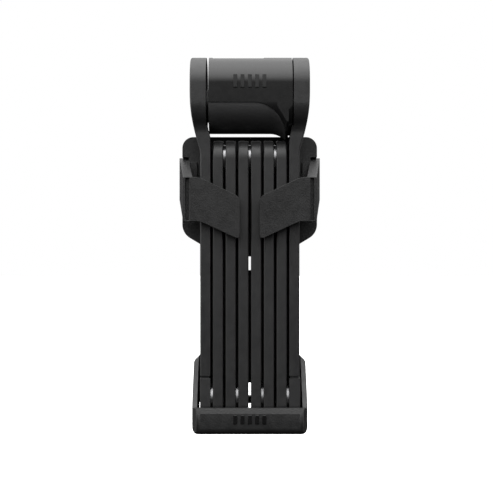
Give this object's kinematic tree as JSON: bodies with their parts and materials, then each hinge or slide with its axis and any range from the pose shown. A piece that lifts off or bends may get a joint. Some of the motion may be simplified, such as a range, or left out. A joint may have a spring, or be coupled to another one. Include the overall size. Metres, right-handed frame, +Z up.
{
  "type": "folding bike lock",
  "caption": "Folding bike lock with coated steel bars riveted in a zigzag, a keyed lock body across two arms, and a frame bracket with a cup and spring wings.",
  "frame": {"origin": "centre of the two mounting slots, on the bracket's back face", "axes": "+Z up along the folded bars, towards the lock body; +Y backwards, out of the bracket's back face towards the bicycle; +X to the right when the lock is seen from the front"},
  "size_m": [0.0716, 0.0292, 0.1843],
  "materials": {
    "frame_plastic": "black moulded plastic, fine even grain",
    "wing_plastic": "black moulded plastic, satin",
    "pad_rubber": "soft black rubber",
    "arm_plastic": "black moulded plastic, satin",
    "cap_plastic": "black moulded plastic, satin",
    "coat_soft": "soft-touch black coat",
    "cover_plastic": "black moulded plastic, semi-gloss",
    "core_coated": "black powder coat, matte",
    "bar_steel": "hardened steel, black oxide",
    "bright_steel": "turned steel, bright",
    "cylinder_brass": "turned brass"
  },
  "bodies": {
    "bracket": {"bracket_frame": "frame_plastic", "left_wing": "wing_plastic", "right_wing": "wing_plastic", "tray_pad": "pad_rubber", "rear_pad": "pad_rubber"},
    "left_arm": {"left_arm_plate": "bar_steel", "left_arm_cover": "arm_plastic", "left_arm_end_cap": "cap_plastic", "locking_stud": "bar_steel", "rivet_1": "bar_steel", "washer_1": "bright_steel"},
    "link_1": {"link_1_plate": "bar_steel", "link_1_coat": "coat_soft", "rivet_2": "bar_steel", "washer_2": "bright_steel"},
    "link_2": {"link_2_plate": "bar_steel", "link_2_coat": "coat_soft", "rivet_3": "bar_steel", "washer_3": "bright_steel"},
    "link_3": {"link_3_plate": "bar_steel", "link_3_coat": "coat_soft", "rivet_4": "bar_steel", "washer_4": "bright_steel"},
    "link_4": {"link_4_plate": "bar_steel", "link_4_coat": "coat_soft", "rivet_5": "bar_steel", "washer_5": "bright_steel"},
    "link_5": {"link_5_plate": "bar_steel", "link_5_coat": "coat_soft", "rivet_6": "bar_steel", "washer_6": "bright_steel"},
    "link_6": {"link_6_plate": "bar_steel", "link_6_coat": "coat_soft", "rivet_7": "bar_steel", "washer_7": "bright_steel"},
    "right_arm": {"right_arm_plate": "bar_steel", "right_arm_cover": "arm_plastic", "right_arm_end_cap": "cap_plastic", "pivot_pin": "bright_steel", "pivot_washer": "cap_plastic"},
    "lock_body": {"body_core": "core_coated", "body_cover": "cover_plastic", "key_barrel": "cylinder_brass", "barrel_pin": "bright_steel", "pin_keeper": "bright_steel"},
    "key_plug": {"key_plug": "cylinder_brass", "lock_discs": "bright_steel", "cam_disc": "bar_steel"},
    "locking_bolt": {"locking_bolt": "bar_steel", "bolt_pin": "bright_steel"},
    "keyhole_cover": {"keyhole_cover": "arm_plastic"}
  },
  "joints": [
    {"name": "draw_out", "type": "slide", "parent": "bracket", "child": "left_arm", "axis": [0, 0, 1], "range_m": [0, 0.64], "deforming": ["left_wing", "right_wing"]},
    {"name": "hinge_1", "type": "hinge", "parent": "left_arm", "child": "link_1", "pos_m": [-0.0186, -0.015, -0.0342], "axis": [1, 0, 0], "range_deg": [0, 135]},
    {"name": "hinge_2", "type": "hinge", "parent": "link_1", "child": "link_2", "pos_m": [-0.0124, -0.015, 0.0838], "axis": [1, 0, 0], "range_deg": [-135, 0]},
    {"name": "hinge_3", "type": "hinge", "parent": "link_2", "child": "link_3", "pos_m": [-0.0062, -0.015, -0.0342], "axis": [1, 0, 0], "range_deg": [0, 135]},
    {"name": "hinge_4", "type": "hinge", "parent": "link_3", "child": "link_4", "pos_m": [0, -0.015, 0.0838], "axis": [1, 0, 0], "range_deg": [-135, 0]},
    {"name": "hinge_5", "type": "hinge", "parent": "link_4", "child": "link_5", "pos_m": [0.0062, -0.015, -0.0342], "axis": [1, 0, 0], "range_deg": [0, 135]},
    {"name": "hinge_6", "type": "hinge", "parent": "link_5", "child": "link_6", "pos_m": [0.0124, -0.015, 0.0838], "axis": [1, 0, 0], "range_deg": [-135, 0]},
    {"name": "hinge_7", "type": "hinge", "parent": "link_6", "child": "right_arm", "pos_m": [0.0186, -0.015, -0.0342], "axis": [1, 0, 0], "range_deg": [0, 135]},
    {"name": "body_swivel", "type": "hinge", "parent": "right_arm", "child": "lock_body", "pos_m": [0.015, -0.015, 0.11005], "axis": [1, 0, 0], "range_deg": [-60, 60]},
    {"name": "key_turn", "type": "hinge", "parent": "lock_body", "child": "key_plug", "pos_m": [0, -0.015, 0.1238], "axis": [0, 0, 1], "range_deg": [0, 90]},
    {"name": "bolt_slide", "type": "slide", "parent": "lock_body", "child": "locking_bolt", "axis": [-1, 0, 0], "range_m": [0, 0.006]},
    {"name": "keyhole_slide", "type": "slide", "parent": "lock_body", "child": "keyhole_cover", "axis": [-1, 0, 0], "range_m": [0, 0.0115]}
  ],
  "couplings": [
    {"joint": "hinge_1", "follows": "draw_out", "rad_per_m": 3.681},
    {"joint": "hinge_2", "follows": "draw_out", "rad_per_m": -3.681},
    {"joint": "hinge_3", "follows": "draw_out", "rad_per_m": 3.681},
    {"joint": "hinge_4", "follows": "draw_out", "rad_per_m": -3.681},
    {"joint": "hinge_5", "follows": "draw_out", "rad_per_m": 3.681},
    {"joint": "hinge_6", "follows": "draw_out", "rad_per_m": -3.681},
    {"joint": "hinge_7", "follows": "draw_out", "rad_per_m": 3.681},
    {"joint": "bolt_slide", "follows": "key_turn", "m_per_rad": 0.003819}
  ]
}
